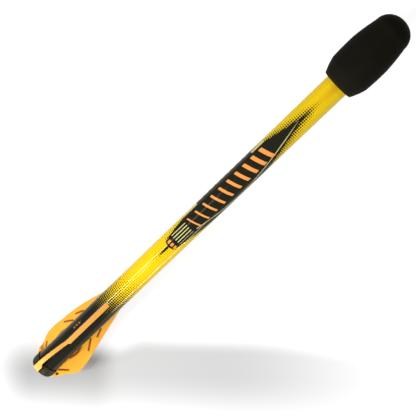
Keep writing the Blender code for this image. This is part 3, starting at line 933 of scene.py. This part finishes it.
# %% Inner pieces
INNER = {"tube": grey_plastic, "nose_plug": grey_plastic, "slug_retainer": grey_plastic,
         "fin_core": grey_plastic, "ballast_slug": bare_steel}

for node, finish in INNER.items():
    mesh = frame["nodes"][node].data
    mesh.materials.clear()
    mesh.materials.append(finish)
print("inner pieces finished:", len(INNER))

# %% [markdown]
# The javelin lies on a pale floor. It is part paint and part glow that only the camera and clear
# reflections see, so it comes out white where nothing shades it and still keeps the javelin's
# shadow. A bright lamp could whiten it too, but would wash out the foam. The glow is a little
# stronger round the nose, far from the large lamps.

# %% Floor paint and glow
FLOOR_Z = -0.0300
FLOOR_CENTRE, BELOW_NOSE = (0.33, 0, FLOOR_Z), (0.62, 0, FLOOR_Z)
FLOOR_GREY = (0.34, 0.34, 0.34, 1)
GLOW, GLOW_AT_NOSE = 0.72, 0.86
NOSE_GLOW_FROM, NOSE_GLOW_FULL = 0.50, 0.15


def seen_directly(tree):
    """1 for what the camera meets, itself or in a reflection or through glass, and 0 for the rest."""
    rays = add_node(tree, "ShaderNodeLightPath").outputs
    return either(rays["Is Camera Ray"], rays["Is Glossy Ray"], rays["Is Transmission Ray"])


def vector_calc(operation, a, b, result):
    made = add_node(a.id_data, "ShaderNodeVectorMath", {"operation": operation})
    fill(made.inputs[0], a)
    fill(made.inputs[1], b)
    return made.outputs[result]


def soft_step(value, low, high):
    return remap(value, low, high, kind="SMOOTHSTEP")


floor_finish = bpy.data.materials.new("floor")
floor_finish.use_nodes = True
tree = floor_finish.node_tree
tree.nodes.clear()
paint = add_node(tree, "ShaderNodeBsdfDiffuse", Color=FLOOR_GREY)
from_nose = vector_calc("DISTANCE", place(tree), BELOW_NOSE, "Value")
near_nose = soft_step(from_nose, NOSE_GLOW_FROM, NOSE_GLOW_FULL)
full_glow = remap(near_nose, 0, 1, GLOW, GLOW_AT_NOSE)
print("glow:", GLOW, "to", GLOW_AT_NOSE)

# %% [markdown]
# In the photograph a soft grey shade lies below the tail, wider than the javelin's own shadow. A
# thing out of view could cast it, but it would darken the javelin as well. So it is a band on the
# floor, drawn with soft steps in two measures that run along the photograph's sides. Its upper
# edge is sharper beside the tail than beyond it, and curves at both ends. The shade takes away
# some of the glow, so that the real shadow still falls on it.

# %% Shade
EDGE_CURVE = 0.013
CURVE_RIGHT, CURVE_LEFT = (0.05, 0.22), (-0.09, -0.14)
LOWER_EDGE, LEFT_EDGE, RIGHT_EDGE = (-0.324, -0.231), (-0.335, -0.255), (0.30, 0.0)
SHARP_TOP, SOFT_TOP, BEYOND_TAIL = (-0.174, -0.205), (-0.163, -0.235), (-0.17, -0.22)
SHADE, SHADE_AT_TAIL, AT_TAIL = 0.45, 0.22, (-0.125, -0.170)


def floor_measure(way):
    """How far a point of the floor lies from its centre in one direction, in metres."""
    offset = vector_calc("SUBTRACT", place(tree), FLOOR_CENTRE, "Vector")
    return vector_calc("DOT_PRODUCT", offset, way, "Value")


across_floor, up_floor = floor_measure(image_right), floor_measure(image_up)
curve = plus(times(soft_step(across_floor, *CURVE_RIGHT), EDGE_CURVE),
             times(soft_step(across_floor, *CURVE_LEFT), EDGE_CURVE))
sharp_top = soft_step(plus(up_floor, curve), *SHARP_TOP)
softening = times(soft_step(across_floor, *BEYOND_TAIL),
                  minus(soft_step(up_floor, *SOFT_TOP), sharp_top))
shade = both(plus(sharp_top, softening), soft_step(up_floor, *LOWER_EDGE),
             soft_step(across_floor, *LEFT_EDGE), soft_step(across_floor, *RIGHT_EDGE))
deepest = plus(SHADE, times(soft_step(across_floor, *AT_TAIL), SHADE_AT_TAIL))
strength = times(seen_directly(tree), minus(full_glow, times(shade, deepest)))
glow = add_node(tree, "ShaderNodeEmission", Color=(1, 1, 1, 1), Strength=strength)
total = add_node(tree, "ShaderNodeAddShader")
fill(total.inputs[0], paint.outputs[0])
fill(total.inputs[1], glow.outputs[0])
add_node(tree, "ShaderNodeOutputMaterial", Surface=total.outputs[0])
print("floor:", len(tree.nodes), "nodes")

# %% [markdown]
# A flat floor would end in a hard line behind the javelin. This one turns up into a low wall all
# round, as a photographer's paper sweep does, so no view shows where it ends. It is turned like
# the nose, round the upright axis.

# %% Floor
ROOM, ROOM_BEND, ROOM_WALL = 5.0, 1.0, 2.0
BEND_STEPS, FLOOR_STEPS = 12, 48

sweep = [(0, 0, 0), (ROOM - ROOM_BEND, 0, 0)]
for i in range(1, BEND_STEPS + 1):
    angle = pi / 2 * i / BEND_STEPS
    sweep.append((ROOM - ROOM_BEND + ROOM_BEND * sin(angle), 0, ROOM_BEND * (1 - cos(angle))))
sweep.append((ROOM, 0, ROOM_WALL))
room = spun(sweep, Z_AXIS, FLOOR_STEPS)
bmesh.ops.translate(room, vec=FLOOR_CENTRE, verts=room.verts)
floor = add_object("floor", smooth_mesh(room, "floor", floor_finish))
print("floor:", len(floor.data.polygons), "faces")

# %% [markdown]
# The film is glossy, so what it mirrors matters more than how bright the lamps are. A picture of
# a real studio could surround it, but a plain white room does. It is white to the camera and in
# reflections, and gives little light itself.

# %% World
ROOM_LIGHT = 0.20

world = bpy.data.worlds.new("studio")
bpy.context.scene.world = world
world.use_nodes = True
sky = world.node_tree.nodes["Background"]
sky.inputs["Color"].default_value = (1, 1, 1, 1)
fill(sky.inputs["Strength"], remap(seen_directly(world.node_tree), 0, 1, ROOM_LIGHT, 1.0))
bpy.context.scene.view_settings.view_transform = "Standard"
print("room light:", ROOM_LIGHT)

# %% [markdown]
# Seen from the camera, the tube mirrors four narrow lamps, which make its white streaks. The two
# large lamps stand behind the tail, where the tube doesn't mirror them, and light the tail a
# little more than the nose, as in the photograph. A weak lamp in front keeps the nose's tip from
# going black, and a low one brightens the tube's lower rim. One big lamp overhead would be
# simpler, but its reflection would cover half the print. Each lamp is a rectangle aimed at one
# station of the javelin, with its length in line with it.

# %% Lamps
LAMPS = [
    # name, place, station aimed at, length, width, watts
    ("fin_streak", (-0.38, 0.50, 1.0), 0.10, 0.16, 0.07, 1.1),
    ("tail_streak", (-0.22, 0.37, 1.0), 0.15, 0.18, 0.07, 2.5),
    ("middle_streak", (-0.03, 0.37, 1.0), 0.25, 0.22, 0.08, 0.7),
    ("short_streak", (-0.215, -0.035, 1.0), 0.17, 0.15, 0.13, 1.1),
    ("front", (1.45, 0, 0.80), 0.60, 0.40, 0.40, 2.6),
    ("low_side", (-0.09, -0.90, 0.06), 0.09, 0.28, 0.12, 2.2),
    ("key_left", (-1.10, 0.80, 0.90), 0.20, 0.55, 0.55, 26),
    ("key_right", (-1.10, -0.80, 0.90), 0.20, 0.55, 0.55, 19),
]

for name, at, aimed_at, length, width, watts in LAMPS:
    light = bpy.data.lights.new(name, "AREA")
    light.shape = "RECTANGLE"
    light.size = length
    light.size_y = width
    light.energy = watts
    facing = (Vector(at) - Vector((aimed_at, 0, 0))).normalized()
    upward = facing.cross(Vector(X_AXIS)).normalized()
    turn = Matrix((upward.cross(facing), upward, facing)).transposed()
    add_object(name, light).matrix_world = Matrix.Translation(at) @ turn.to_4x4()
print("lamps:", len(bpy.data.lights))
